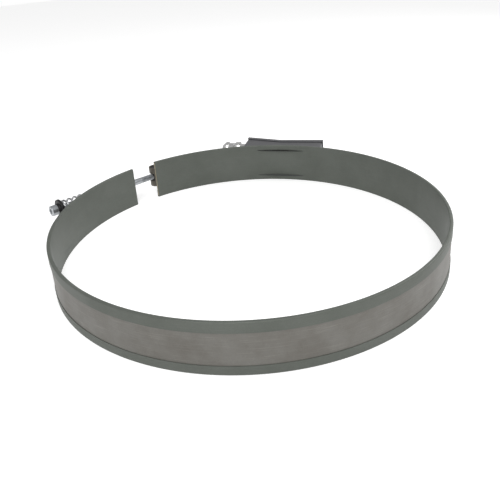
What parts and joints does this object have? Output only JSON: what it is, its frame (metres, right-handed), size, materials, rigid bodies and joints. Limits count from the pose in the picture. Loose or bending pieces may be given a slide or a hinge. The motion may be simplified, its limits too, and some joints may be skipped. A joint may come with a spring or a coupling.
{
  "type": "band heater",
  "caption": "Large ring band heater of folded sheet, closed by a spring-loaded clamp screw, with a raised terminal box and a metal cable gland.",
  "frame": {"origin": "centre of the barrel bore, half way up the band", "axes": "+Z along the bore axis, +Y from the bore axis through the middle of the gap, +X along the clamp screw towards its tip"},
  "size_m": [0.4396, 0.4398, 0.05],
  "materials": {
    "sheath": "matt grey-green sheet with dark nicks",
    "strip": "dull stained sheet with drips, blotches and long scratches",
    "mica": "pressed mica sheet",
    "ribbon": "bright resistance ribbon",
    "strap": "brownish-grey rolled strap",
    "black_steel": "black oxide",
    "screw_steel": "zinc-plated steel",
    "spring_steel": "bright spring wire",
    "grey_paint": "dark grey painted sheet",
    "ceramic": "unglazed steatite",
    "brass": "plain turned brass",
    "nickel": "bright nickel plate",
    "rubber": "black moulded rubber"
  },
  "bodies": {
    "band": {"inner_sheath": "sheath", "inner_mica": "mica", "element_core": "mica", "heating_ribbon": "ribbon", "outer_mica": "mica", "outer_sheath": "strip", "left_clamp_strap": "strap", "right_clamp_strap": "strap", "plain_barrel": "black_steel", "tapped_barrel": "black_steel", "clamp_spring": "spring_steel", "terminal_box_body": "grey_paint", "terminal_box_lid": "grey_paint", "lid_screws": "screw_steel", "terminal_studs": "screw_steel", "ceramic_bushes": "ceramic", "terminal_washers": "screw_steel", "terminal_nuts": "brass", "earth_screw": "brass", "gland_body": "nickel", "gland_locknut": "nickel", "gland_seal": "rubber", "gland_dome_nut": "nickel"},
    "spring_seat": {"spring_seat": "black_steel"},
    "clamp_screw": {"clamp_screw": "screw_steel"}
  },
  "joints": [
    {"name": "screw_travel", "type": "slide", "parent": "band", "child": "spring_seat", "axis": [1, 0, 0], "range_m": [0, 0.008], "deforming": ["clamp_spring"]},
    {"name": "screw_turn", "type": "hinge", "parent": "spring_seat", "child": "clamp_screw", "pos_m": [0, 0.21968, 0], "axis": [1, 0, 0], "range_deg": [0, 2304]}
  ],
  "couplings": [
    {"joint": "screw_turn", "follows": "screw_travel", "rad_per_m": 5026.5}
  ]
}
